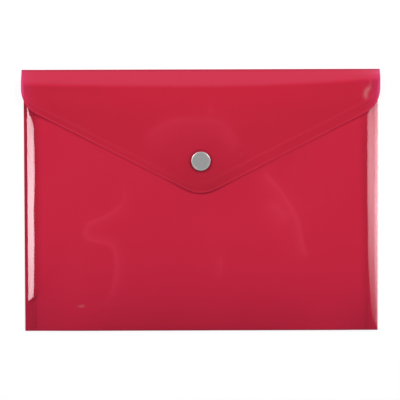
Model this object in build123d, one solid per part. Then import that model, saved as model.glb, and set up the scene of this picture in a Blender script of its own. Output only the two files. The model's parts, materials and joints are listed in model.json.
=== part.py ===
from build123d import *
import os
from math import asin, atan2, cos, degrees, hypot, sin, sqrt

# A document wallet of translucent film. One sheet is folded at the bottom into a
# pocket, welded along both sides, and creased at the top into a pointed flap that a
# metal press stud holds shut. It lies on its back: X runs across, Y runs up to the
# top crease and Z rises from the table. All sizes are in millimetres.

# The sheet
film = 0.3
body_width = 250.0
body_length = 185.0
pocket_depth = 5.0
fold_gap = 0.3
bottom_rise = 55.0
mouth_drop = 11.0

# The welded sides
seam_width = 8.3
weld_tooth = 1.2
weld_pitch = 2.2
weld_lip = 0.8
side_rise = 70.0

# The flap, measured down from the top crease in the view from above
flap_overhang = 1.3
crease_radius = 0.4
root_run = 10.6
flap_side = 25.8
flap_point = 89.7
flap_corner_radius = 19.0
flap_tip_radius = 22.0
stud_drop = 64.8

# The snap, as radii and thicknesses of its pressed metal pieces
barrel_radius = 1.45
barrel_bore = 0.95
barrel_floor = 0.3
roll_radius = 1.9
roll_height = 0.2
eyelet_radius = 4.6
eyelet_wall = 0.4
eyelet_round = 0.25
stud_base_radius = 4.4
stud_wall = 0.3
stud_round = 0.15
neck_radius = 2.0
head_catch = 0.35
head_flare = 0.25
head_height = 0.45
head_round = 0.2
socket_radius = 5.2
socket_wall = 0.25
socket_round = 0.25
wire_radius = 0.2
wire_bend = 0.7
cap_radius = 6.75
cap_height = 1.05
cap_wall = 0.35
cap_curl = 1.3
cap_round = 0.4
cap_rim = 0.9
cap_dish = 0.1
disc_wall = 0.25
post_flare = 0.2

# Clearances
hinge_gap = 0.05
barrel_gap = 0.05
wire_gap = 0.05
disc_gap = 0.05
socket_gap = 0.15
mouth_gap = 0.4
stud_gap = 0.2

# How far a cutter runs past what it cuts
overrun = 1.0

# How the front panel climbs from the bottom fold, steeply at first, and where a wire
# turns its ends
climb_shares = (0, 0.2, 0.4, 0.6, 0.8, 1)
climb_power = 3.2
wire_straight_share = 0.85
wire_end_share = 0.3

# Heights of the two panels and of the snap that is closed between panel and flap
half_width = body_width / 2
half_flap = half_width + flap_overhang
front_under = film + pocket_depth
front_top = front_under + film
stud_base_top = front_top + stud_wall
socket_low = stud_base_top + socket_gap
wire_height = socket_low + socket_wall + wire_gap + wire_radius
neck_top = wire_height + wire_radius
head_top = neck_top + head_flare + head_height
roll_top = head_top + roll_height
flare_low = roll_top + stud_gap
socket_roof = flare_low + post_flare
flap_under = socket_roof + socket_wall
flap_middle = flap_under + film / 2
flap_top = flap_under + film

# Places up the sheet
fold_radius = fold_gap / 2 + film
fold_y = -body_length / 2 + fold_radius
mouth_y = body_length / 2 - mouth_drop
crease_y = body_length / 2 - crease_radius
bend_y = body_length / 2 - root_run
stud_y = body_length / 2 - stud_drop

# The flap's root slopes from the crease up to the bend, where the flap turns level.
# The film's middle runs past the crease's axis at this offset, so that the same film
# lies flat on the table when the flap is open.
root_offset = crease_radius - film / 2
root_span = hypot(crease_y - bend_y, flap_middle - crease_radius)
root_length = sqrt(root_span**2 - root_offset**2)
root_slope = atan2(flap_middle - crease_radius, crease_y - bend_y) - atan2(root_offset, root_length)

# The open flap comes to rest on its cap, so it stops a little short of flat
cap_lift = atan2(cap_height, bend_y - stud_y - cap_radius)

# Half the film's inner chord across the crease's bead
bead_chord = sqrt(crease_radius**2 - (crease_radius - film) ** 2)


def plate(points, low, high):
    """A flat piece of this outline between two heights."""
    outline = make_face(Polyline(points, close=True))
    return Pos(0, 0, low) * extrude(outline, amount=high - low)


def turned(corners):
    """A piece turned about the snap's axis, from corners of radius, height and rounding."""
    points = [(radius, height) for radius, height, rounding in corners]
    roundings = [rounding for radius, height, rounding in corners]
    profile = Plane.XZ * make_face(FilletPolyline(points, radius=roundings, close=True))
    return Pos(0, stud_y, 0) * revolve(profile, axis=Axis.Z)


def weld_line(side):
    """The weld's zigzag from the bottom fold to the mouth, on side -1 or 1."""
    teeth = round((mouth_y - fold_y) / weld_pitch)
    step = (mouth_y - fold_y) / teeth
    valley = side * (half_width - seam_width)
    peak = side * (half_width - seam_width + weld_tooth)
    points = [(valley, fold_y)]
    for tooth in range(teeth):
        points.append((peak, fold_y + (tooth + 1 / 2) * step))
        points.append((valley, fold_y + (tooth + 1) * step))
    return points


def climb(y, gap, side, lift):
    """One face of the side rise: an arc up from the weld and an arc onto the crown."""
    foot = half_width - seam_width - weld_lip
    radius = (side_rise**2 + gap**2) / (4 * gap)
    turn = asin(side_rise / (2 * radius))
    low = film + radius
    high = film + gap - radius
    start = (side * foot, y, film + lift)
    inner = radius - lift
    outer = radius + lift
    half_low = (side * (foot - inner * sin(turn / 2)), y, low - inner * cos(turn / 2))
    middle = (side * (foot - inner * sin(turn)), y, low - inner * cos(turn))
    half_high = (side * (foot - side_rise + outer * sin(turn / 2)), y, high + outer * cos(turn / 2))
    end = (side * (foot - side_rise), y, film + gap + lift)
    return start, half_low, middle, half_high, end


def front_section(y, gap):
    """The front panel cut across at y, where it stands this far above the back panel."""
    edge = half_width - seam_width + weld_tooth
    lines = []
    for lift in (0, film):
        left = climb(y, gap, -1, lift)
        right = climb(y, gap, 1, lift)
        lines.append(Line((-edge, y, film + lift), left[0]))
        lines.append(ThreePointArc(left[0], left[1], left[2]))
        lines.append(ThreePointArc(left[2], left[3], left[4]))
        lines.append(Line(left[4], right[4]))
        lines.append(ThreePointArc(right[4], right[3], right[2]))
        lines.append(ThreePointArc(right[2], right[1], right[0]))
        lines.append(Line(right[0], (edge, y, film + lift)))
    for side in (-1, 1):
        lines.append(Line((side * edge, y, film), (side * edge, y, film + film)))
    return Face(Wire(Curve(lines).edges()))


def snap_hole(low, high):
    """Cutter for the barrel's hole through one film."""
    hole = Cylinder(barrel_radius + barrel_gap, high - low + overrun + overrun)
    return Pos(0, stud_y, (low + high) / 2) * hole


def make_back_panel():
    """The sheet's back, between the welds and full width above the pocket's mouth."""
    top = crease_y - bead_chord - hinge_gap
    outline = weld_line(1) + [(half_width, mouth_y), (half_flap, top)]
    outline = outline + [(-half_flap, top), (-half_width, mouth_y)] + weld_line(-1)[::-1]
    return plate(outline, 0, film)


def make_front_panel():
    """The sheet's front: flat lips at the welds and a long soft rise to a level crown."""
    sections = []
    for share in climb_shares:
        gap = pocket_depth - (pocket_depth - fold_gap) * (1 - share) ** climb_power
        sections.append(front_section(fold_y + bottom_rise * share, gap))
    crown = extrude(sections[-1], amount=mouth_y - fold_y - bottom_rise, dir=(0, 1, 0))
    panel = loft(sections) + crown
    for side in (-1, 1):
        beyond = side * (half_width + overrun)
        trim = weld_line(side)
        trim = [(trim[0][0], fold_y - overrun)] + trim + [(trim[-1][0], mouth_y + overrun)]
        trim = trim + [(beyond, mouth_y + overrun), (beyond, fold_y - overrun)]
        panel = panel - plate(trim, 0, front_top + overrun)
    return panel - snap_hole(front_under, front_top)


def make_seam(side):
    """One welded side, where both films are fused into a strip with a toothed edge."""
    outline = weld_line(side) + [(side * half_width, mouth_y), (side * half_width, fold_y)]
    return plate(outline, 0, film + film)


def make_bottom_fold():
    """The sheet turned over at the bottom, from the back panel to the front panel."""
    middle = film + fold_gap / 2
    inner = fold_gap / 2
    back_out, back_in = (0, fold_y, 0), (0, fold_y, film)
    front_in, front_out = (0, fold_y, film + fold_gap), (0, fold_y, film + fold_gap + film)
    profile = [
        ThreePointArc(back_out, (0, fold_y - fold_radius, middle), front_out),
        Line(front_out, front_in),
        ThreePointArc(front_in, (0, fold_y - inner, middle), back_in),
        Line(back_in, back_out),
    ]
    face = Face(Wire(Curve(profile).edges()))
    return extrude(face, amount=half_width, dir=(1, 0, 0), both=True)


def bead(y, z, radius):
    """The film's own round turn along a hinge line."""
    return Pos(0, y, z) * Rot(0, 90, 0) * Cylinder(radius, half_flap + half_flap)


def make_flap_root():
    """The flap's first strip, which slopes from the crease up to the bend."""
    start = bead_chord + hinge_gap
    end = root_length - film / 2 - hinge_gap
    strip = Box(half_flap + half_flap, end - start, film)
    along = (start + end) / 2
    y = crease_y - along * cos(root_slope) + root_offset * sin(root_slope)
    z = crease_radius + along * sin(root_slope) + root_offset * cos(root_slope)
    return Pos(0, y, z) * Rot(-degrees(root_slope), 0, 0) * strip


def make_flap_panel():
    """The flap's level part: round shoulders, straight slants and a round point."""
    top = bend_y - film / 2 - hinge_gap
    shoulder = body_length / 2 - flap_side
    point = body_length / 2 - flap_point
    corners = [(-half_flap, top), (-half_flap, shoulder), (0, point), (half_flap, shoulder), (half_flap, top)]
    roundings = [0, flap_corner_radius, flap_tip_radius, flap_corner_radius, 0]
    outline = make_face(FilletPolyline(corners, radius=roundings, close=True))
    panel = Pos(0, 0, flap_under) * extrude(outline, amount=film)
    return panel - snap_hole(flap_under, flap_top)


def make_snap_cap():
    """The cap's shell: a dished face, a round rim and an edge curled under the disc."""
    face = flap_top + cap_height
    wall = cap_radius - cap_wall
    return turned(
        [
            (0, face - cap_dish, 0),
            (cap_radius - cap_rim - cap_dish, face - cap_dish, 0),
            (cap_radius - cap_rim, face, 0),
            (cap_radius, face, cap_round),
            (cap_radius, flap_top, cap_round),
            (cap_radius - cap_curl, flap_top, 0),
            (cap_radius - cap_curl, flap_top + cap_wall, 0),
            (wall, flap_top + cap_wall, 0),
            (wall, face - cap_wall, 0),
            (0, face - cap_wall, 0),
        ]
    )


def make_cap_post():
    """The disc inside the cap, with its barrel clenched under the socket's roof."""
    disc_low = flap_top + cap_wall
    disc_top = disc_low + disc_wall
    disc_edge = cap_radius - cap_wall - disc_gap
    return turned(
        [
            (0, disc_top, 0),
            (disc_edge, disc_top, 0),
            (disc_edge, disc_low, 0),
            (barrel_radius, disc_low, 0),
            (barrel_radius, socket_roof, 0),
            (roll_radius, socket_roof, 0),
            (roll_radius, flare_low, 0),
            (barrel_bore, flare_low, 0),
            (barrel_bore, disc_low, 0),
            (0, disc_low, 0),
        ]
    )


def make_snap_socket():
    """The socket's cup under the flap, with a mouth for the stud's head."""
    mouth = neck_radius + head_catch + mouth_gap
    inner = socket_radius - socket_wall
    hole = barrel_radius + barrel_gap
    return turned(
        [
            (hole, flap_under, 0),
            (socket_radius, flap_under, socket_round),
            (socket_radius, socket_low, socket_round),
            (mouth, socket_low, 0),
            (mouth, socket_low + socket_wall, 0),
            (inner, socket_low + socket_wall, 0),
            (inner, socket_roof, 0),
            (hole, socket_roof, 0),
        ]
    )


def make_snap_springs():
    """Two wires across the socket that close on the stud's neck, ends turned in."""
    room = socket_radius - socket_wall - wire_gap - wire_radius
    beside = neck_radius + wire_gap + wire_radius
    straight = wire_straight_share * sqrt(room**2 - beside**2)
    hook = wire_end_share * beside
    end = sqrt(room**2 - hook**2)
    corners = [(hook, -end), (beside, -straight), (beside, straight), (hook, end)]
    path = FilletPolyline(corners, radius=wire_bend)
    profile = Plane(origin=path @ 0, z_dir=path % 0) * Circle(wire_radius)
    wire = Pos(0, stud_y, wire_height) * sweep(profile, path=path)
    return Compound(children=[wire, mirror(wire, about=Plane.YZ)])


def make_snap_stud():
    """The stud on the front panel: a base, a neck and the head that the wires hold."""
    head_radius = neck_radius + head_catch
    bore = barrel_radius + barrel_gap
    return turned(
        [
            (bore, front_top, 0),
            (stud_base_radius, front_top, 0),
            (stud_base_radius, stud_base_top, stud_round),
            (neck_radius, stud_base_top, 0),
            (neck_radius, neck_top, 0),
            (head_radius, neck_top + head_flare, 0),
            (head_radius, head_top, head_round),
            (bore, head_top, 0),
        ]
    )


def make_stud_eyelet():
    """The eyelet from inside the pocket, with its barrel rolled over the stud's top."""
    return turned(
        [
            (0, front_under - eyelet_wall, 0),
            (eyelet_radius, front_under - eyelet_wall, eyelet_round),
            (eyelet_radius, front_under, 0),
            (barrel_radius, front_under, 0),
            (barrel_radius, head_top, 0),
            (roll_radius, head_top, 0),
            (roll_radius, roll_top, 0),
            (barrel_bore, roll_top, 0),
            (barrel_bore, front_under + barrel_floor, 0),
            (0, front_under + barrel_floor, 0),
        ]
    )


pieces = {
    "back_panel": make_back_panel(),
    "front_panel": make_front_panel(),
    "bottom_fold": make_bottom_fold(),
    "left_seam": make_seam(-1),
    "right_seam": make_seam(1),
    "top_crease": bead(crease_y, crease_radius, crease_radius),
    "flap_root": make_flap_root(),
    "flap_bend": bead(bend_y, flap_middle, film / 2),
    "flap_panel": make_flap_panel(),
    "snap_cap": make_snap_cap(),
    "cap_post": make_cap_post(),
    "snap_socket": make_snap_socket(),
    "snap_springs": make_snap_springs(),
    "snap_stud": make_snap_stud(),
    "stud_eyelet": make_stud_eyelet(),
}

os.makedirs("parts", exist_ok=True)
for name, piece in pieces.items():
    export_step(piece, f"parts/{name}.step")

print("crease axis", crease_y, crease_radius, "opens to", 180 - degrees(root_slope))
print("bend axis", bend_y, flap_middle, "opens to", degrees(root_slope - cap_lift))
print("front panel inside", film, front_under - eyelet_wall, "mouth", mouth_y, "stud", stud_y)
print("snap heights", front_top, flap_under, flap_top, flap_top + cap_height)
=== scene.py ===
import json
import math

import bmesh
import bpy
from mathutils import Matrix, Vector, kdtree


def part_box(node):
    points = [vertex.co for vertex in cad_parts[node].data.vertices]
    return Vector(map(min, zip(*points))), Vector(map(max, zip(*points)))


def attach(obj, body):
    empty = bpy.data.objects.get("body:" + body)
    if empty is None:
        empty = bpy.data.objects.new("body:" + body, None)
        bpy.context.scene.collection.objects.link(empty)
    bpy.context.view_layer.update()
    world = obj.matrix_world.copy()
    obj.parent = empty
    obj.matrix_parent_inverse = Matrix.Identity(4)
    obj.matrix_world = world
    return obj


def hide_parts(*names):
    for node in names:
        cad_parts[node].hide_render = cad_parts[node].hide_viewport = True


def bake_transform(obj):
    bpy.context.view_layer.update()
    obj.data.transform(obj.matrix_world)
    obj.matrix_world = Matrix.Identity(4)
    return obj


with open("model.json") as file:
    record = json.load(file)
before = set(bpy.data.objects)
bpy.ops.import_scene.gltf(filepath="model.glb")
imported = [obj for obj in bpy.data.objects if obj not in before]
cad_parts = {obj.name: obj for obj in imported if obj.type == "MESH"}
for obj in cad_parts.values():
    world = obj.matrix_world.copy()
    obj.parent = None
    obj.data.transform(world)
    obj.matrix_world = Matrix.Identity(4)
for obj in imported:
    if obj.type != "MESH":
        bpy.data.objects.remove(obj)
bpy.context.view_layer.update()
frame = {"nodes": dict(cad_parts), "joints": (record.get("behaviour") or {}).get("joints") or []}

# A press-stud document wallet of translucent red film, lying on its back.
# Shapes are drawn in millimetres and handed to Blender in metres.
mm = 0.001
film = 0.3               # thickness of the wallet's one sheet
sharpAngle = 50          # in degrees: faces that meet at more than this show an edge
ridgeStep = 0.8          # between the points of a pressed line
ridgeReach = 3           # a pressed line is felt this many of its widths away
holeClear = 1.05         # points within this many radii of a hole's middle go
holeRim = 2.5            # and edge points within this many are set on its rim


# Small tools

def boxOf(node):
    low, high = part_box(node)
    return low / mm, high / mm


def jointPlace(name):
    joint = next(j for j in frame["joints"] if j["name"] == name)
    return Vector(joint["pos_m"]) / mm


def share(value, start, end):      # 0 at start, 1 at end, held outside
    return min(max((value - start) / (end - start), 0.0), 1.0)


def ease(t):                       # the same with level ends
    t = min(max(t, 0.0), 1.0)
    return t * t * (3 - 2 * t)


def sideOf(x):                     # -1 on the left of the wallet, 1 on the right
    return -1 if x < 0 else 1


def steps(start, end, step):
    count = max(1, round(abs(end - start) / step))
    return [start + (end - start) * i / count for i in range(count + 1)]


def smoothLine(points):            # a soft line through a few points
    knots = [Vector((x, y, 0)) for x, y in points]
    knots = [knots[0]] + knots + [knots[-1]]
    line = []
    for a, b, c, d in zip(knots, knots[1:], knots[2:], knots[3:]):
        for t in steps(0, 1, ridgeStep / max((c - b).length, ridgeStep))[:-1]:
            bend = (2 * a - 5 * b + 4 * c - d) * t ** 2 + (3 * b - a - 3 * c + d) * t ** 3
            line.append((2 * b + (c - a) * t + bend) / 2)
    return line + [knots[-1]]


def layRidges(lines):              # each line goes in a tree, so that a point can ask how far it is
    for line in lines:
        run = smoothLine(line["points"])
        line["tree"] = kdtree.KDTree(len(run))
        for i, place in enumerate(run):
            line["tree"].insert(place, i)
        line["tree"].balance()
        line["run"] = run
    return lines


def ridgeEnds(line, index):        # a ridge fades out towards both ends
    along = index / (len(line["run"]) - 1)
    return ease(along / line["fade"]) * ease((1 - along) / line["fade"])


def ridgeHeight(lines, x, y):
    height = 0.0
    for line in lines:
        place, index, gap = line["tree"].find((x, y, 0))
        if gap < ridgeReach * line["width"]:
            height += line["height"] * ridgeEnds(line, index) * math.exp(-(gap / line["width"]) ** 2)
    return height


# A painted sheen along each pressed ridge
def ridgeSheen(lines, x, y):        # the film is paler along a ridge, soft on one side and sharp on the other
    tone = 0.0
    for line in lines:
        place, index, gap = line["tree"].find((x, y, 0))
        ahead = line["run"][min(index + 1, len(line["run"]) - 1)] - line["run"][max(index - 1, 0)]
        turn = ahead.x * (y - place.y) - ahead.y * (x - place.x)
        run = line["soft"] if turn * line["side"] > 0 else line["sharp"]
        tone = max(tone, line["tone"] * ridgeEnds(line, index) * math.exp(-gap / run))
    return tone


def punchHole(bm, centre, radius):
    inside = [v for v in bm.verts if (v.co / mm - centre).length < radius * holeClear]
    bmesh.ops.delete(bm, geom=inside, context="VERTS")
    for v in bm.verts:
        out = v.co / mm - centre
        if v.is_boundary and out.length < radius * holeRim:
            flat = Vector((out.x, out.y, 0)).normalized() * radius
            v.co = Vector((centre.x + flat.x, centre.y + flat.y, v.co.z / mm)) * mm


def filmSheet(name, grid, thick, hole=None):   # grid rows hold points on the middle of the film
    bm = bmesh.new()
    rows = [[bm.verts.new(point * mm) for point in row] for row in grid]
    for near, far in zip(rows, rows[1:]):
        for c in range(len(near) - 1):
            bm.faces.new((near[c], near[c + 1], far[c + 1], far[c]))
    if hole:
        punchHole(bm, *hole)
    bm.normal_update()
    mesh = bpy.data.meshes.new(name)
    bm.to_mesh(mesh)
    bm.free()
    sheet = bpy.data.objects.new(name, mesh)
    bpy.context.scene.collection.objects.link(sheet)
    wall = sheet.modifiers.new("filmWall", "SOLIDIFY")
    wall.thickness = thick * mm
    wall.offset = 0
    depsgraph = bpy.context.evaluated_depsgraph_get()
    solid = bpy.data.meshes.new_from_object(sheet.evaluated_get(depsgraph))
    sheet.modifiers.clear()
    sheet.data = solid
    bpy.data.meshes.remove(mesh)
    solid.name = name
    solid.polygons.foreach_set("use_smooth", [True] * len(solid.polygons))
    solid.set_sharp_from_angle(angle=math.radians(sharpAngle))
    return sheet


def shadeSheet(sheet, name, rule):     # keeps a number at each point of a sheet for its material
    layer = sheet.data.attributes.new(name, "FLOAT", "POINT")
    layer.data.foreach_set("value", [rule(v.co.x / mm, v.co.y / mm) for v in sheet.data.vertices])


# Places that the CAD parts give

seamHigh = boxOf("right_seam")[1]
frontHigh = boxOf("front_panel")[1]
foldHigh = boxOf("bottom_fold")[1]
flapLow, flapHigh = boxOf("flap_panel")
capLow, capHigh = boxOf("snap_cap")
hinge = jointPlace("flap_hinge")
bend = jointPlace("flap_bend")
studX = (capLow.x + capHigh.x) / 2
studY = (capLow.y + capHigh.y) / 2
print("places: stud", round(studX, 2), round(studY, 2), "hinge", hinge, "bend", bend)


# The pocket: one sheet, from the crease down the back, round the bottom fold and up the front

pocket = {
    "columns": 1.3, "frontRows": 1.3, "backRows": 4.0, "foldRows": 10,
    "edgeColumns": 0.5, "fineEdge": 11.0,   # closer columns within this of the edge
    "backFine": -66.0,                 # below this the back has rows as close as the front
    "kink": (-77, -72), "kinkRows": 0.5,
    "halfWidth": seamHigh.x, "halfCrease": flapHigh.x,
    "mouth": frontHigh.y, "crease": hinge.y, "fold": foldHigh.y,
    "flareFrom": -1.0, "flareTo": 5.0,      # past the mouth the sheet widens to the crease
    "frontMiddle": frontHigh.z - film / 2, "backMiddle": film / 2,
    "air": 0.1,                        # between the films in the welded margins
    "foldAir": 0.2, "foldAirRun": 30.0,     # and this much more inside them
    "ridgeFrom": 12.0,                 # pressed lines start this softly inside the welds
    "crown": 62.0,                     # the front rises from each weld over this much
    "climb": 55.0, "climbPower": 3.2,  # and from the bottom fold, steeply at first
    "settle": 40.0,                    # the back comes down to the table inside the weld
    "lieFrom": 73.0, "lieTo": 88.0,    # and the margins do so towards the crease, under the flap
    "holeRadius": 1.5,
}

# The middle line of each weld's teeth, as stations (y, distance from the middle of the wallet)
weld = {"pitch": 2.83, "tooth": 0.8, "width": 1.6, "skin": 0.1, "relief": 0.03,
        "rowsPerTooth": 6, "columns": 6,
        "lift": 0.05, "bottomGap": 1.0, "mouthGap": 0.4, "tipShade": {-1: 0.6, 1: 0.1}, "tipFade": 10.0,
        "left": [(-92, 119.1), (-68, 118.95), (-60, 118.4), (-42, 118.0), (-14, 117.95), (-4, 118.05),
                 (0, 117.7), (14, 117.4), (25, 117.2), (35, 117.3), (52, 117.8), (82, 118.5)],
        "right": [(-92, 118.1), (-49, 118.05), (-14, 117.65), (0, 117.35), (14, 117.05), (82, 117.1)]}

# How the welded margins lie, with distances in from the edge of the sheet and heights up it.
# The left one is level at its rim and slopes up to the weld; the right one slopes all over.
leftMargin = {"level": 2.05, "rimTilt": 10.6, "tilt": 9.0, "run": 6.0,
              "reach": [(-92, 12), (50, 12), (51.6, 7.8), (56.6, 6.8), (62.3, 4.2), (67.5, 2.6)],
              "end": -75.0, "endSlant": 0.6, "endRun": 1.6, "fan": 3.0, "backEarly": 0.6}
rightMargin = {"run": 8.0,
               "rimTilt": [(-92, 11.6), (-64, 12.5), (-35, 13.0), (0, 13.2), (53, 13.2), (81, 12.8)],
               "tilt": [(-92, 7.6), (-64, 7.9), (-35, 8.2), (0, 8.5), (81, 8.5)],
               "reach": [(-92, 1), (-90, 1.7), (-86.4, 3.3), (-81.5, 4.45), (-74.4, 5.1), (-63.8, 6),
                         (-52, 6.8), (-46, 12), (54, 12), (63.7, 6.5), (75, 4)]}

# Soft ridges where the front film has been pressed on what lay inside, each with a painted sheen along it
frontRidges = layRidges([
    {"points": [(-57.6, 24), (-57.6, 16.2), (-55.3, 0), (-66.1, -10), (-79.6, -16.6), (-80.3, -26.6),
                (-64, -31.9), (-60.4, -42.5), (-61.4, -56.7), (-65.4, -67.3), (-72, -72.3), (-86.7, -75.1)],
     "height": 0.12, "width": 1.9, "fade": 0.3, "tone": 0.62, "soft": 3.2, "sharp": 0.9, "side": 1},
    {"points": [(42.5, 23), (54.8, 9.2), (63.2, -3.6), (69.2, -15.6), (71.9, -29.8), (76.2, -42.5)],
     "height": 0.15, "width": 2.1, "fade": 0.14, "tone": 0.76, "soft": 4.2, "sharp": 0.9, "side": -1},
    {"points": [(42, 1.5), (51, -4), (59.2, -10.7), (68, -16.5)], "height": 0.05, "width": 3.0, "fade": 0.4,
     "tone": 0.66, "soft": 6.0, "sharp": 6.0, "side": 1},
    {"points": [(13.9, -36.9), (14.6, -49.6), (11, -56.7)], "height": 0.12, "width": 1.6, "fade": 0.3,
     "tone": 0.42, "soft": 3.0, "sharp": 0.8, "side": -1},
])

# Painted glints where the film is kinked; here the height is how much
frontGlints = layRidges([
    {"points": [(-88.4, -74.9), (-85.2, -74.7), (-81.4, -74.4)], "height": 0.5, "width": 0.8, "fade": 0.5},
])


def alongPath(pairs, y):           # a value that changes evenly between stations
    for (lowY, low), (highY, high) in zip(pairs, pairs[1:]):
        if y <= highY:
            return low + (high - low) * share(y, lowY, highY)
    return pairs[-1][1]


def weldMargin(x, y):              # edge of the sheet to the hollows between the weld's teeth
    return pocket["halfWidth"] - alongPath(weld["left" if x < 0 else "right"], y) + weld["tooth"] / 2


def marginRise(x, y, inward):      # how high the margin stands, this far in from the edge
    if x < 0:
        inward = max(inward - leftMargin["level"], 0)
        rim, inner, run = leftMargin["rimTilt"], leftMargin["tilt"], leftMargin["run"]
    else:
        rim, inner = alongPath(rightMargin["rimTilt"], y), alongPath(rightMargin["tilt"], y)
        run = rightMargin["run"]
    rim, inner = math.tan(math.radians(rim)), math.tan(math.radians(inner))
    return inward * (rim + (inner - rim) * inward / run / 2)


def marginLift(x, y, early=0.0):   # how far the margins lift the sheet off the table
    inward, margin = pocket["halfWidth"] - abs(x), weldMargin(x, y)
    inside = max(inward - margin, 0)
    reach = min(alongPath((leftMargin if x < 0 else rightMargin)["reach"], y), margin)
    lift = marginRise(x, y, min(max(inward, 0), reach)) * (1 - ease(inside / pocket["settle"]))
    if x < 0:                      # the left one ends low down, in a short crease that fans out inwards
        end = leftMargin["end"] + leftMargin["endSlant"] * min(inward, margin) + early
        lift *= ease((y - end) / (leftMargin["endRun"] + leftMargin["fan"] * inside))
    return lift * (1 - ease(share(y, pocket["lieFrom"], pocket["lieTo"])))


def backHeight(x, y):
    return pocket["backMiddle"] + marginLift(x, y, leftMargin["backEarly"])


def frontHeight(x, y):
    inside = pocket["halfWidth"] - abs(x) - weldMargin(x, y)
    climb = 1 - (1 - share(y - pocket["fold"], 0, pocket["climb"])) ** pocket["climbPower"]
    pressed = film + pocket["air"] + pocket["foldAir"] * ease(inside / pocket["foldAirRun"])
    full = pocket["frontMiddle"] - pocket["backMiddle"] - film - pocket["air"] - pocket["foldAir"]
    crown = full * ease(inside / pocket["crown"]) * climb
    ridges = ridgeHeight(frontRidges, x, y) * ease(inside / pocket["ridgeFrom"])
    return pocket["backMiddle"] + marginLift(x, y) + pressed + crown + ridges


def sheetColumns():
    marginEdge = pocket["halfWidth"] - pocket["fineEdge"]
    half = steps(0, marginEdge, pocket["columns"])[:-1]
    half += steps(marginEdge, pocket["halfWidth"], pocket["edgeColumns"])
    return [-x for x in reversed(half[1:])] + half


def frontRows():                   # closer together where the film is kinked
    start, end = pocket["kink"]
    rows = steps(pocket["fold"], start, pocket["frontRows"])[:-1]
    rows += steps(start, end, pocket["kinkRows"])[:-1]
    return rows + steps(end, pocket["mouth"], pocket["frontRows"])


def pocketGrid():
    columns = sheetColumns()
    flare = pocket["halfCrease"] / pocket["halfWidth"]
    grid = []
    backRows = steps(pocket["crease"], pocket["backFine"], pocket["backRows"])[:-1]
    for y in backRows + steps(pocket["backFine"], pocket["fold"], pocket["frontRows"])[:-1]:
        past = share(y - pocket["mouth"], pocket["flareFrom"], pocket["flareTo"])
        wide = 1 + (flare - 1) * ease(past)
        grid.append([Vector((x * wide, y, backHeight(x, y))) for x in columns])
    for turn in steps(0, math.pi, math.pi / pocket["foldRows"])[:-1]:
        row = []
        for x in columns:
            low, high = backHeight(x, pocket["fold"]), frontHeight(x, pocket["fold"])
            radius = (high - low) / 2
            place = pocket["fold"] - radius * math.sin(turn)
            row.append(Vector((x, place, low + radius * (1 - math.cos(turn)))))
        grid.append(row)
    for y in frontRows():
        grid.append([Vector((x, y, frontHeight(x, y))) for x in columns])
    return grid


# Painted shade on the pocket: along the bottom fold, in a band just inside the welds, and low down, most of
# all in the corners. It is also darker in both margins.
rimShade = {"margin": {-1: 0.42, 1: 0.2}, "marginRun": 0.5, "bottom": 0.5, "bottomRun": 1.6,
            "band": 0.11, "bandIn": 1.0, "bandWide": 3.6, "bandRun": 1.2,
            "corner": 0.26, "cornerHigh": 38.0, "cornerWide": 46.0, "low": 0.1, "lowHigh": 80.0}


# Painted shade, darker low down and most of all in the corners
def lowShade(x, y):
    low = 1 - ease((y - pocket["fold"]) / rimShade["cornerHigh"])
    corner = rimShade["corner"] * low * (1 - ease((pocket["halfWidth"] - abs(x)) / rimShade["cornerWide"]))
    return corner + rimShade["low"] * (1 - ease((y - pocket["fold"]) / rimShade["lowHigh"]))


# Painted shade along the bottom fold and just inside the welds; darker in the margins
def pocketRim(x, y):
    bottom = rimShade["bottom"] * (1 - ease((y - pocket["fold"]) / rimShade["bottomRun"]))
    inside = pocket["halfWidth"] - abs(x) - weldMargin(x, y)
    band = rimShade["band"] * ease((inside + rimShade["bandIn"]) / rimShade["bandIn"])
    band *= 1 - ease((inside - rimShade["bandWide"]) / rimShade["bandRun"])
    band *= ease((y - pocket["fold"]) / rimShade["cornerHigh"])
    outside = ease((inside + rimShade["marginRun"]) / rimShade["marginRun"])
    margin = rimShade["margin"][sideOf(x)] * (1 - outside)
    return max(margin, bottom, band + lowShade(x, y))


studSeat = Vector((studX, studY, frontHeight(studX, studY)))
pocketSheet = filmSheet("pocketSheet", pocketGrid(), film, (studSeat, pocket["holeRadius"]))
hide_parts("back_panel", "bottom_fold", "front_panel")
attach(pocketSheet, "pocket")
shadeSheet(pocketSheet, "edgeShade", pocketRim)
shadeSheet(pocketSheet, "paintedSheen", lambda x, y: ridgeSheen(frontRidges, x, y))
shadeSheet(pocketSheet, "paintedGlint", lambda x, y: ridgeHeight(frontGlints, x, y))
print("pocketSheet:", len(pocketSheet.data.polygons), "faces")


# The welds: a row of pressed teeth along each side

def toothPoint(y):                 # 1 at a tooth's tip, 0 in the hollow beside it
    return 1 - abs(2 * ((y / weld["pitch"]) % 1) - 1)


def toothShade(x, y):              # painted shade on the teeth's tips, and painted shade low down
    outside = abs(x) - pocket["halfWidth"] + weldMargin(x, y)
    shade = weld["tipShade"][sideOf(x)] * ease((y - leftMargin["end"]) / weld["tipFade"])
    shade *= toothPoint(y) * ease(share(outside, -weld["tooth"], weld["tooth"] / 2))
    return max(shade, lowShade(x, y))


def weldGrid(side):                # level teeth that reach out over the sloping margin
    bottom = pocket["fold"] + weld["bottomGap"]
    top = pocket["mouth"] - weld["mouthGap"]
    grid = []
    for y in steps(bottom, top, weld["pitch"] / weld["rowsPerTooth"]):
        point = toothPoint(y)
        hollow = pocket["halfWidth"] - weldMargin(side, y)
        row = []
        for t in steps(0, 1, 1 / weld["columns"]):
            x = hollow - weld["width"] + (weld["width"] + weld["tooth"] * point) * t
            skin = frontHeight(side * min(x, hollow), y) + (film + weld["skin"]) / 2 + weld["lift"]
            row.append(Vector((side * x, y, skin + weld["relief"] * point * math.sin(math.pi * t))))
        grid.append(row if side > 0 else row[::-1])
    return grid


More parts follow.
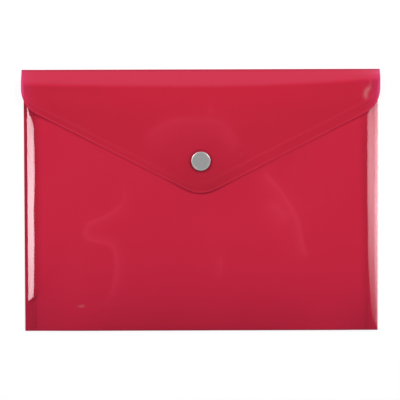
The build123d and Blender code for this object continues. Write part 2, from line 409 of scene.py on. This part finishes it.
weldStrips = []
for side, name, node in ((-1, "weldLeft", "left_seam"), (1, "weldRight", "right_seam")):
    strip = filmSheet(name, weldGrid(side), weld["skin"])
    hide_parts(node)
    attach(strip, "pocket")
    shadeSheet(strip, "edgeShade", toothShade)
    weldStrips.append(strip)
print("welds:", [s.name for s in weldStrips])


# The flap: the same sheet past the crease, up its root, over a soft bend and down to the die-cut point

flap = {
    "columns": 1.3, "studColumns": 0.45, "studHalf": 9.0, "cornerColumns": 26, "rootRows": 22,
    # rows as shares of each column's run: up to the first share in steps of the second
    "rows": [(0.56, 0.02), (0.84, 0.006), (0.95, 0.016), (1, 0.008)],
    "half": flapHigh.x, "middle": (flapLow.z + flapHigh.z) / 2,
    "shoulder": 66.7, "point": 2.8, "cornerRadius": 19.0, "tipRadius": 22.0,
    "rootOffset": 0.25, "rootGap": 0.12,                   # the root starts just clear of the crease
    "straight": 0.5, "bendRound": 2.4,                     # runs up straight for a share, then turns over
    "bendY": 80.72, "bendLeft": 0.000185, "bendRight": 0.000378,     # along a slightly bowed line
    "blend": 4.0,                                          # a span either side of the bend
    "arch": 0.5, "archRun": 24.0, "archFrom": 14.0,        # it stands up a little past the root
    "sag": 3.2, "sagFrom": 55.0, "sagRun": 71.0, "rootSlope": 0.62,      # it is lower towards its sides
    "edgeAir": 0.07, "tipAir": 0.08, "tipFrom": 30.0, "tipRun": 35.0,    # its cut edge hangs to the front
    "steepest": 0.15, "hangPower": 1.6, "hangFrom": 10.0, "hangRun": 70.0, "cornerX": 105.0,
    "lip": 0.07, "lipRun": 1.2,                            # and turns up a little where the die cut it
    "fold": 0.1, "foldLeft": 4.3, "foldRight": 7.0, "foldWidth": 1.0,
    "hold": 7.1, "holdRun": 22.0,                          # the snap holds it level
    "holeRadius": 1.5,
}

# A leaf-shaped dent in the right corner: stations (y, value), and distances in from the flap's edge
cornerDent = {"tilt": 2.5, "line": [(70, 9.2), (71.6, 8.5), (74.4, 7.3), (77, 6.45), (86, 6.4)],
              "width": [(68, 0), (70, 1), (71.6, 2.5), (73, 3.9), (75.8, 5.3), (78.7, 3.9), (80.1, 3.2),
                        (81.5, 1.0), (84.3, 0)]}

# The ring that the stud has pressed into the film above it, and three small marks, each with a painted sheen
# along it
flapRidges = layRidges([
    {"points": [(-43, 41), (-37.8, 44.6), (-27.2, 53.1), (-14.4, 56.6), (-0.3, 56.6), (13.9, 55.9),
                (22.4, 46), (23.8, 37.5), (17.4, 30.4)],
     "height": 0.16, "width": 2.4, "fade": 0.14, "tone": 0.44, "soft": 11.0, "sharp": 2.0, "side": -1},
    {"points": [(-38.5, 47), (-36, 45)], "height": 0.16, "width": 2.0, "fade": 0.4,
     "tone": 0.45, "soft": 2.2, "sharp": 1.4, "side": 1},
    {"points": [(4, 63), (9.5, 63)], "height": 0.16, "width": 1.8, "fade": 0.4,
     "tone": 0.45, "soft": 2.2, "sharp": 1.4, "side": 1},
    {"points": [(27, 33), (29, 30.5)], "height": 0.16, "width": 2.0, "fade": 0.4,
     "tone": 0.45, "soft": 2.2, "sharp": 1.4, "side": 1},
])

# A painted glint along the rim of the dent; here again the height is how much
flapGlints = layRidges([
    {"points": [(119.4, 85.4), (119.4, 81.6), (118.6, 79.6)], "height": 0.16, "width": 0.7, "fade": 0.3},
    {"points": [(120.0, 81.6), (118.4, 79.0), (117.0, 77.2), (116.1, 75.2), (116.0, 73.2), (116.3, 69.6)],
     "height": 0.6, "width": 1.45, "fade": 0.36},
])

flapFall = (flap["shoulder"] - flap["point"]) / flap["half"]      # how steeply the edge runs to the point
flapLean = math.atan(flapFall)


def flapEdge(x):                   # where a column of the flap ends
    x = abs(x)
    tipEnd = flap["tipRadius"] * math.sin(flapLean)
    cornerX = flap["half"] - flap["cornerRadius"]
    if x < tipEnd:
        centre = flap["point"] + flap["tipRadius"] / math.cos(flapLean)
        return centre - math.sqrt(flap["tipRadius"] ** 2 - x ** 2)
    if x < cornerX + flap["cornerRadius"] * math.sin(flapLean):
        return flap["point"] + flapFall * x
    centre = flap["point"] + flapFall * cornerX + flap["cornerRadius"] / math.cos(flapLean)
    return centre - math.sqrt(max(flap["cornerRadius"] ** 2 - (x - cornerX) ** 2, 0))


def flapColumns():
    cornerX = flap["half"] - flap["cornerRadius"]
    turns = steps(flapLean, math.pi / 2, (math.pi / 2 - flapLean) / flap["cornerColumns"])
    corner = [cornerX + flap["cornerRadius"] * math.sin(turn) for turn in turns]
    half = steps(0, flap["studHalf"], flap["studColumns"])[:-1]
    half += steps(flap["studHalf"], corner[0], flap["columns"])[:-1] + corner
    return [-x for x in reversed(half[1:])] + half


def cornerDrop(x, y):              # how far the strip outside the dent hangs lower
    width = alongPath(cornerDent["width"], y)
    if width <= 0 or x < 0:
        return 0.0
    line = alongPath(cornerDent["line"], y)
    depth = width * math.tan(math.radians(cornerDent["tilt"]))
    return depth * (1 - share(flap["half"] - x, line, line + width))


def bendLine(x):                   # where the flap turns over from its root to its face
    bow = flap["bendLeft"] if x < 0 else flap["bendRight"]
    return flap["bendY"] + bow * x ** 2


def flapSag(x):                    # lower too where the bend nears the crease, so that the root is as steep
    bow = (bendLine(x) - flap["bendY"]) * flap["rootSlope"]
    bow *= ease((abs(x) - flap["hold"]) / flap["holdRun"])
    return max(flap["sag"] * ease((abs(x) - flap["sagFrom"]) / flap["sagRun"]), bow)


def edgeGap(x, y):                 # how far in from the cut edge
    return (y - flapEdge(x)) * math.cos(flapLean)


def edgeFold(x, y):                # 1 along the line where the flap was bent beside its edge
    line = flap["foldLeft"] if x < 0 else flap["foldRight"]
    return math.exp(-((edgeGap(x, y) - line) / flap["foldWidth"]) ** 2)


def studGap(x, y):
    return math.hypot(x - studX, y - studY)


def flapLevel(x, y):               # how far the flap's face stands off its flat level
    start = bendLine(x) - flap["bendRound"]
    run = start - flapEdge(x)
    under = frontHeight(min(max(x, -flap["cornerX"]), flap["cornerX"]), flapEdge(x))
    tip = 1 - ease((abs(x) - flap["tipFrom"]) / flap["tipRun"])
    air = film + flap["edgeAir"] + flap["tipAir"] * tip
    power = 1 + flap["hangPower"] * (1 - ease((abs(x) - flap["hangFrom"]) / flap["hangRun"]))
    droop = min(flap["middle"] - flapSag(x) - under - air, flap["steepest"] * run)
    droop *= share(start - y, 0, run) ** power
    lip = flap["lip"] * (1 - ease(edgeGap(x, y) / flap["lipRun"]))
    hold = ease((studGap(x, y) - flap["hold"]) / flap["holdRun"])
    arch = flap["arch"] * math.exp(-((y - start + flap["archFrom"]) / flap["archRun"]) ** 2)
    soft = lip + flap["fold"] * edgeFold(x, y) + arch + ridgeHeight(flapRidges, x, y)
    return (soft * ease((start - y) / flap["archFrom"]) - droop) * hold - flapSag(x) - cornerDrop(x, y)


def flapRows():                    # closer at the stud and at the cut edge
    rows = [0]
    for end, step in flap["rows"]:
        rows += steps(rows[-1], end, step)[1:]
    return rows


def flapGrid():
    slope = math.atan2(bend.z - hinge.z, hinge.y - bend.y)
    startY = hinge.y + flap["rootOffset"] * math.sin(slope) - flap["rootGap"] * math.cos(slope)
    startZ = hinge.z + flap["rootOffset"] * math.cos(slope) + flap["rootGap"] * math.sin(slope)
    columns = flapColumns()
    grid = []
    for t in steps(0, 1, 1 / flap["rootRows"])[:-1]:       # straight up the root, then round into the face
        row = []
        for x in columns:
            start = Vector((x, startY, startZ))
            corner = Vector((x, bendLine(x), flap["middle"] - flapSag(x)))
            turnIn = corner + (start - corner).normalized() * flap["bendRound"]
            turnOut = corner - Vector((0, flap["bendRound"], 0))
            u = share(t, flap["straight"], 1)
            place = turnIn * (1 - u) ** 2 + corner * 2 * u * (1 - u) + turnOut * u ** 2
            if t < flap["straight"]:
                place = start + (turnIn - start) * t / flap["straight"]
            row.append(place - Vector((0, 0, cornerDrop(x, place.y))))
        grid.append(row)
    for t in flapRows():
        row = []
        for x in columns:
            head = bendLine(x) - flap["bendRound"]
            y = head + (flapEdge(x) - head) * t
            row.append(Vector((x, y, flap["middle"] + flapLevel(x, y))))
        grid.append(row)
    return [row[::-1] for row in grid]


# Painted light on the flap: a glow at the sides, a sheen on the root, highlights along the cut edge and the
# fold beside it, and shade along the crease and round the cap
flapShade = {"side": {-1: 0.39, 1: 0.56}, "sideRun": 4.0, "root": 1.0, "rootPast": 1.0, "rootRun": 3.0,
             "crease": 0.5, "creaseRun": 1.0,
             "capShadow": 0.5, "capShadowFrom": 7.2, "capShadowRun": 2.8, "held": 0.16, "heldRun": 22.0,
             "cut": 0.5, "cutRun": 1.8, "foldLine": 0.24}


# A painted sheen on the root
def rootSheen(x, y):                # full on the root, none past the bend
    return flapShade["root"] * (1 - ease((bendLine(x) + flapShade["rootPast"] - y) / flapShade["rootRun"]))


# A painted glow along the flap's sides
def flapGlow(x, y):
    return flapShade["side"][sideOf(x)] * math.exp(-(flap["half"] - abs(x)) / flapShade["sideRun"])


def flapSheen(x, y):                # painted highlight along the cut edge and along the fold beside it, and painted sheen along the ridges
    cut = flapShade["cut"] * (1 - ease(edgeGap(x, y) / flapShade["cutRun"]))
    return max(cut, flapShade["foldLine"] * edgeFold(x, y), ridgeSheen(flapRidges, x, y))


# Painted shade round the cap, over the flap near the stud, and along the crease
def flapPaintedShade(x, y):
    away = studGap(x, y)
    capShadow = flapShade["capShadow"] * (1 - ease((away - flapShade["capShadowFrom"]) / flapShade["capShadowRun"]))
    held = flapShade["held"] * math.exp(-(away / flapShade["heldRun"]) ** 2)
    crease = flapShade["crease"] * (1 - ease((hinge.y - y) / flapShade["creaseRun"]))
    return max(capShadow, held, crease)


capSeat = Vector((studX, studY, flap["middle"]))
flapSheet = filmSheet("flapSheet", flapGrid(), film, (capSeat, flap["holeRadius"]))
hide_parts("flap_root", "flap_bend", "flap_panel")
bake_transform(flapSheet)
shadeSheet(flapSheet, "edgeGlow", flapGlow)
shadeSheet(flapSheet, "edgeShade", flapPaintedShade)
shadeSheet(flapSheet, "paintedSheen", flapSheen)
shadeSheet(flapSheet, "rootSheen", rootSheen)
shadeSheet(flapSheet, "paintedGlint", lambda x, y: ridgeHeight(flapGlints, x, y))
print("flapSheet:", len(flapSheet.data.polygons), "faces")


# Materials

def toLinear(code):
    parts = [int(code[i:i + 2], 16) / 255 for i in (1, 3, 5)]
    return [c / 12.92 if c <= 0.04045 else ((c + 0.055) / 1.055) ** 2.4 for c in parts] + [1.0]


# A Mix node has several sockets of one name, so its colour ones go by number
mixFactor = 0
mixA = 6
mixB = 7
mixOut = 2


def addNode(tree, kind, settings=None, links=None):   # a setting goes to its socket, or else to the node
    node = tree.nodes.new(kind)
    for key, value in (settings or {}).items():
        if isinstance(key, int) or key in node.inputs:
            node.inputs[key].default_value = value
        else:
            setattr(node, key, value)
    for key, source in (links or {}).items():
        tree.links.new(source, node.inputs[key])
    return node


def newMaterial(name):
    material = bpy.data.materials.new(name)
    material.use_nodes = True
    material.node_tree.nodes.clear()
    return material, material.node_tree


# Polypropylene film, extruded and glossy. Dye in the film gives a deep red that is see-through
# in one layer and closes up in two or three. Its skin has faint flow lines and soft cloudy patches.
# Besides the cloudy deep and pale, the tones are painted light: sheen along ridges, cut edges and the root, a
# glow at the flap's sides, glints, and shade
filmLook = {"deep": "#e92e4b", "pale": "#ef3451", "tint": "#f3a6d2", "through": 0.44,
            "tones": {"paintedSheen": "#fc4665", "rootSheen": "#e7435e", "edgeGlow": "#fa5fa5",
                      "paintedGlint": "#ffa6ac", "edgeShade": "#8c1c38"},
            "cloud": 45.0, "cloudDetail": 3.0,             # the patterns' sizes are in millimetres
            "flow": 1.6, "flowLength": 90.0, "grain": 0.9, "fineDetail": 2.0,
            "flowRange": (0.3, 0.7), "shine": 0.085, "dull": 0.115,
            "relief": 0.25, "flowDepth": 0.004, "grainDepth": 0.003, "bending": 1.49, "gloss": 0.89}

# Along the welds the two films have melted into one, which lets less light back out
weldLook = {**filmLook, "deep": "#dd2d49", "pale": "#e3324d"}


def polypropyleneFilm(name, look):
    material, tree = newMaterial(name)
    place = addNode(tree, "ShaderNodeTexCoord").outputs["Object"]
    cloud = addNode(tree, "ShaderNodeTexNoise",
                    {"Scale": 1 / (look["cloud"] * mm), "Detail": look["cloudDetail"]}, {"Vector": place})
    tone = addNode(tree, "ShaderNodeMix",
                   {"data_type": "RGBA", mixA: toLinear(look["deep"]), mixB: toLinear(look["pale"])},
                   {mixFactor: cloud.outputs["Fac"]})
    for mark, colour in look["tones"].items():             # the marks that the sheets keep at their points
        amount = addNode(tree, "ShaderNodeAttribute", {"attribute_name": mark})
        tone = addNode(tree, "ShaderNodeMix", {"data_type": "RGBA", mixB: toLinear(colour)},
                       {mixFactor: amount.outputs["Fac"], mixA: tone.outputs[mixOut]})
    lines = addNode(tree, "ShaderNodeMapping",
                    {"Scale": (1 / (look["flow"] * mm), 1 / (look["flowLength"] * mm), 1)}, {"Vector": place})
    flow = addNode(tree, "ShaderNodeTexNoise", {"Scale": 1.0, "Detail": look["fineDetail"]},
                   {"Vector": lines.outputs["Vector"]})
    grain = addNode(tree, "ShaderNodeTexNoise",
                    {"Scale": 1 / (look["grain"] * mm), "Detail": look["fineDetail"]}, {"Vector": place})
    low, high = look["flowRange"]
    dull = addNode(tree, "ShaderNodeMapRange",
                   {"From Min": low, "From Max": high, "To Min": look["shine"], "To Max": look["dull"]},
                   {"Value": flow.outputs["Fac"]})
    flowBump = addNode(tree, "ShaderNodeBump",
                       {"Strength": look["relief"], "Distance": look["flowDepth"] * mm},
                       {"Height": flow.outputs["Fac"]})
    grainBump = addNode(tree, "ShaderNodeBump",
                        {"Strength": look["relief"], "Distance": look["grainDepth"] * mm},
                        {"Height": grain.outputs["Fac"], "Normal": flowBump.outputs["Normal"]})
    skin = addNode(tree, "ShaderNodeBsdfPrincipled",
                   {"IOR": look["bending"], "Specular IOR Level": look["gloss"]},
                   {"Base Color": tone.outputs[mixOut], "Roughness": dull.outputs["Result"],
                    "Normal": grainBump.outputs["Normal"]})
    clear = addNode(tree, "ShaderNodeBsdfTransparent", {"Color": toLinear(look["tint"])})
    both = addNode(tree, "ShaderNodeMixShader", {0: 1 - look["through"]},
                   {1: clear.outputs[0], 2: skin.outputs[0]})
    addNode(tree, "ShaderNodeOutputMaterial", None, {"Surface": both.outputs[0]})
    return material


# Nickel plate on pressed brass, tumbled to a satin. It shows the room as a soft grey, with faint rings from
# the turning of the die, a painted highlight on its rolled rim and a painted dark line of shade at its edge.
nickelLook = {"deep": "#e2e2e2", "pale": "#eeeeee",
              "paintedRims": [(5.8, 6.25, "#fff4f4"), (6.5, 6.72, "#6a5558")],    # turns to a colour between radii
              "ring": 0.9, "ringWander": 0.6, "relief": 0.15, "ringDepth": 0.02,
              "wear": 1.4, "wearDetail": 4.0, "satin": 0.38, "rub": 0.48}
waveTurn = 0.314                   # the ring texture repeats after this at a scale of 1


def satinNickel(name, look):
    material, tree = newMaterial(name)
    place = addNode(tree, "ShaderNodeTexCoord").outputs["Object"]
    centred = addNode(tree, "ShaderNodeMapping", {"Location": (-studX * mm, -studY * mm, 0)},
                      {"Vector": place})
    rings = addNode(tree, "ShaderNodeTexWave",
                    {"wave_type": "RINGS", "rings_direction": "Z", "Scale": waveTurn / (look["ring"] * mm),
                     "Distortion": look["ringWander"]}, {"Vector": centred.outputs["Vector"]})
    wear = addNode(tree, "ShaderNodeTexNoise",
                   {"Scale": 1 / (look["wear"] * mm), "Detail": look["wearDetail"]}, {"Vector": place})
    tone = addNode(tree, "ShaderNodeMix",
                   {"data_type": "RGBA", mixA: toLinear(look["deep"]), mixB: toLinear(look["pale"])},
                   {mixFactor: wear.outputs["Fac"]})
    flat = addNode(tree, "ShaderNodeVectorMath", {"operation": "MULTIPLY", 1: (1, 1, 0)},
                   {0: centred.outputs["Vector"]})
    away = addNode(tree, "ShaderNodeVectorMath", {"operation": "LENGTH"}, {0: flat.outputs[0]})
    for start, end, colour in look["paintedRims"]:
        rim = addNode(tree, "ShaderNodeMapRange", {"From Min": start * mm, "From Max": end * mm},
                      {"Value": away.outputs["Value"]})
        tone = addNode(tree, "ShaderNodeMix", {"data_type": "RGBA", mixB: toLinear(colour)},
                       {mixFactor: rim.outputs["Result"], mixA: tone.outputs[mixOut]})
    satin = addNode(tree, "ShaderNodeMapRange", {"To Min": look["satin"], "To Max": look["rub"]},
                    {"Value": wear.outputs["Fac"]})
    bump = addNode(tree, "ShaderNodeBump", {"Strength": look["relief"], "Distance": look["ringDepth"] * mm},
                   {"Height": rings.outputs["Fac"]})
    metal = addNode(tree, "ShaderNodeBsdfPrincipled", {"Metallic": 1.0},
                    {"Base Color": tone.outputs[mixOut], "Roughness": satin.outputs["Result"],
                     "Normal": bump.outputs["Normal"]})
    addNode(tree, "ShaderNodeOutputMaterial", None, {"Surface": metal.outputs[0]})
    return material


# Stainless spring wire, cold drawn: bright, with fine lines along its length
wireLook = {"deep": "#8f8f90", "pale": "#b4b4b5", "draw": 0.12, "drawLength": 3.0, "detail": 2.0,
            "satin": 0.25, "rub": 0.38}


def drawnSpringWire(name, look):
    material, tree = newMaterial(name)
    place = addNode(tree, "ShaderNodeTexCoord").outputs["Object"]
    across = 1 / (look["draw"] * mm)
    along = addNode(tree, "ShaderNodeMapping", {"Scale": (across, 1 / (look["drawLength"] * mm), across)},
                    {"Vector": place})
    lines = addNode(tree, "ShaderNodeTexNoise", {"Scale": 1.0, "Detail": look["detail"]},
                    {"Vector": along.outputs["Vector"]})
    tone = addNode(tree, "ShaderNodeMix",
                   {"data_type": "RGBA", mixA: toLinear(look["deep"]), mixB: toLinear(look["pale"])},
                   {mixFactor: lines.outputs["Fac"]})
    satin = addNode(tree, "ShaderNodeMapRange", {"To Min": look["satin"], "To Max": look["rub"]},
                    {"Value": lines.outputs["Fac"]})
    metal = addNode(tree, "ShaderNodeBsdfPrincipled", {"Metallic": 1.0},
                    {"Base Color": tone.outputs[mixOut], "Roughness": satin.outputs["Result"]})
    addNode(tree, "ShaderNodeOutputMaterial", None, {"Surface": metal.outputs[0]})
    return material


def wear(thing, material):
    if not thing.material_slots:
        thing.data.materials.append(material)
    for slot in thing.material_slots:
        slot.material = material


redFilm = polypropyleneFilm("redPolypropyleneExtrudedFilm", filmLook)
redWeld = polypropyleneFilm("redPolypropyleneHeatWelded", weldLook)
nickel = satinNickel("nickelPlateTumbledSatin", nickelLook)
springWire = drawnSpringWire("stainlessSpringWireDrawn", wireLook)
for sheet in (pocketSheet, flapSheet, frame["nodes"]["top_crease"]):
    wear(sheet, redFilm)
for strip in weldStrips:
    wear(strip, redWeld)
for node in ("snap_cap", "cap_post", "snap_socket", "snap_stud", "stud_eyelet"):
    wear(frame["nodes"][node], nickel)
wear(frame["nodes"]["snap_springs"], springWire)
print("materials:", redFilm.name, redWeld.name, nickel.name, springWire.name)


# The studio: white paper that sweeps up all round, three strips over the margins, two boxes behind
# and a camera above. Its sizes are in metres.

paper = {"radius": 3.0, "hub": 0.02, "sweep": 0.9, "sweepSteps": 12, "wall": 1.0, "around": 96,
         "drop": 0.0001,               # the wallet lies this far off it, so that the two don't flicker
         "white": "#7f7f7f", "glow": 0.83}


def paperSweep():
    quarter = math.pi / 2
    profile = [(paper["hub"], 0.0), (paper["radius"], 0.0)]
    for turn in steps(0, quarter, quarter / paper["sweepSteps"])[1:]:
        out = paper["radius"] + paper["sweep"] * math.sin(turn)
        profile.append((out, paper["sweep"] * (1 - math.cos(turn))))
    profile.append((paper["radius"] + paper["sweep"], paper["wall"]))
    bm = bmesh.new()
    rings = []
    for radius, height in profile:
        ring = []
        for i in range(paper["around"]):
            angle = 2 * math.pi * i / paper["around"]
            x = radius * math.cos(angle)
            y = radius * math.sin(angle)
            ring.append(bm.verts.new((x, y, height - paper["drop"])))
        rings.append(ring)
    bm.faces.new(rings[0])
    for low, high in zip(rings, rings[1:]):
        for i in range(paper["around"]):
            j = (i + 1) % paper["around"]
            bm.faces.new((low[i], high[i], high[j], low[j]))
    bmesh.ops.recalc_face_normals(bm, faces=bm.faces[:])
    mesh = bpy.data.meshes.new("paperSweep")
    bm.to_mesh(mesh)
    bm.free()
    floor = bpy.data.objects.new("paperSweep", mesh)
    bpy.context.scene.collection.objects.link(floor)
    return floor


# Matt paper that the camera and the metal see as white, and that keeps the wallet's shadow

def whitePaper(name, look):
    material, tree = newMaterial(name)
    path = addNode(tree, "ShaderNodeLightPath")
    seen = addNode(tree, "ShaderNodeMath", {"operation": "MAXIMUM"},
                   {0: path.outputs["Is Camera Ray"], 1: path.outputs["Is Glossy Ray"]})
    seen = addNode(tree, "ShaderNodeMath", {"operation": "MAXIMUM"},
                   {0: seen.outputs[0], 1: path.outputs["Is Transmission Ray"]})
    level = addNode(tree, "ShaderNodeMath", {"operation": "MULTIPLY", 1: look["glow"]}, {0: seen.outputs[0]})
    glow = addNode(tree, "ShaderNodeEmission", None, {"Strength": level.outputs[0]})
    matt = addNode(tree, "ShaderNodeBsdfDiffuse", {"Color": toLinear(look["white"])})
    both = addNode(tree, "ShaderNodeAddShader", None, {0: matt.outputs[0], 1: glow.outputs[0]})
    addNode(tree, "ShaderNodeOutputMaterial", None, {"Surface": both.outputs[0]})
    return material


floor = paperSweep()
wear(floor, whitePaper("whitePaperMatt", paper))

# The lamps: radiance is what a mirror would show of them, and a honeycomb grid keeps the light of some
# within an angle of their aim
softboxes = {
    "stripLeft": {"place": (-0.70, -0.05, 1.15), "aim": (-0.12, -0.005, 0), "length": 0.40, "width": 0.15,
                  "radiance": 17.6, "grid": 10.5},
    "stripRight": {"place": (0.70, -0.06, 1.15), "aim": (0.12, -0.045, 0), "length": 0.42, "width": 0.15,
                   "radiance": 8.0, "grid": 6.6},
    "edgeRight": {"place": (0.82, -0.06, 1.077), "aim": (0.12, -0.02, 0), "length": 0.42, "width": 0.13,
                  "radiance": 14.2, "grid": 8.0},
    "backLeft": {"place": (-0.85, 0.68, 0.76), "aim": (0, 0, 0), "length": 0.7, "width": 0.5,
                 "radiance": 10.9},
    "backRight": {"place": (0.85, 0.68, 0.76), "aim": (0, 0, 0), "length": 0.7, "width": 0.5,
                  "radiance": 10.9},
}
for name, box in softboxes.items():
    lamp = bpy.data.lights.new(name, "AREA")
    lamp.shape = "RECTANGLE"
    lamp.size = box["length"]
    lamp.size_y = box["width"]
    lamp.energy = box["radiance"] * math.pi * box["length"] * box["width"]
    if "grid" in box:
        half = math.radians(box["grid"])
        lamp.spread = 2 * half
        lamp.energy *= 1 - half / math.tan(half)
    stand = bpy.data.objects.new(name, lamp)
    stand.location = box["place"]
    aim = Vector(box["aim"]) - stand.location
    stand.rotation_euler = aim.to_track_quat("-Z", "Y").to_euler()
    bpy.context.scene.collection.objects.link(stand)

roomGrey = 0.1
room = bpy.data.worlds.new("room")
room.use_nodes = True
room.node_tree.nodes["Background"].inputs["Color"].default_value = (roomGrey, roomGrey, roomGrey, 1)
bpy.context.scene.world = room

# The camera: how far it is, how much it sees across, and its turns in degrees
shot = {"height": 1.03, "across": 0.2832, "middle": (-0.0006, 0.0002), "roll": -0.18, "tilt": 2.0}
lens = bpy.data.cameras.new("topCamera")
lens.sensor_fit = "HORIZONTAL"
lens.angle = 2 * math.atan(shot["across"] / 2 / shot["height"])
camera = bpy.data.objects.new("topCamera", lens)
tilt = math.radians(shot["tilt"])       # the camera stands a little towards the crease
middleX, middleY = shot["middle"]
camera.location = (middleX, middleY + shot["height"] * math.sin(tilt), shot["height"] * math.cos(tilt))
camera.rotation_euler = (-tilt, 0, math.radians(shot["roll"]))
bpy.context.scene.collection.objects.link(camera)
bpy.context.scene.camera = camera
bpy.context.scene.view_settings.view_transform = "Standard"
print("studio: camera", tuple(camera.location))
